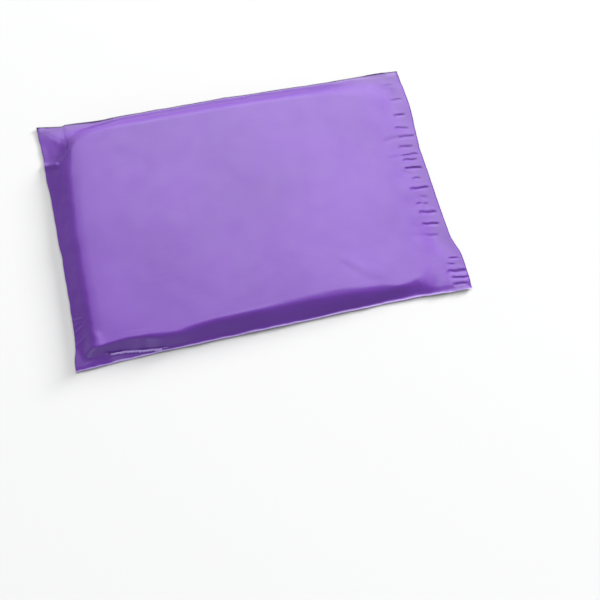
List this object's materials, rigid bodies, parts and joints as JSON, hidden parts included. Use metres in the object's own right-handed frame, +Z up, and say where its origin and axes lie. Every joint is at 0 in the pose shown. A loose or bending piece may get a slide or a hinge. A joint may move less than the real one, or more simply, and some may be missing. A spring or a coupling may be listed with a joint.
{
  "type": "poly mailer bag",
  "caption": "Packed plastic film mailing bag lying on its back, with an open adhesive flap and a clear document pocket on the back.",
  "frame": {"origin": "middle of the bag's footprint, on the surface that it lies on", "axes": "+X from the bottom fold to the flap's free edge, +Y across to the far side weld, +Z up out of the front panel"},
  "size_m": [0.3748, 0.254, 0.0132],
  "materials": {
    "bag_film": "glossy opaque polyethylene film, purple outside",
    "clear_film": "clear glossy film",
    "adhesive": "tacky hot-melt adhesive",
    "liner": "white siliconised release film"
  },
  "bodies": {
    "root": {"mailer_bag": "bag_film", "pocket_film_lower": "clear_film", "pocket_film_upper": "clear_film", "adhesive_strip": "adhesive", "release_liner": "liner"}
  },
  "joints": []
}
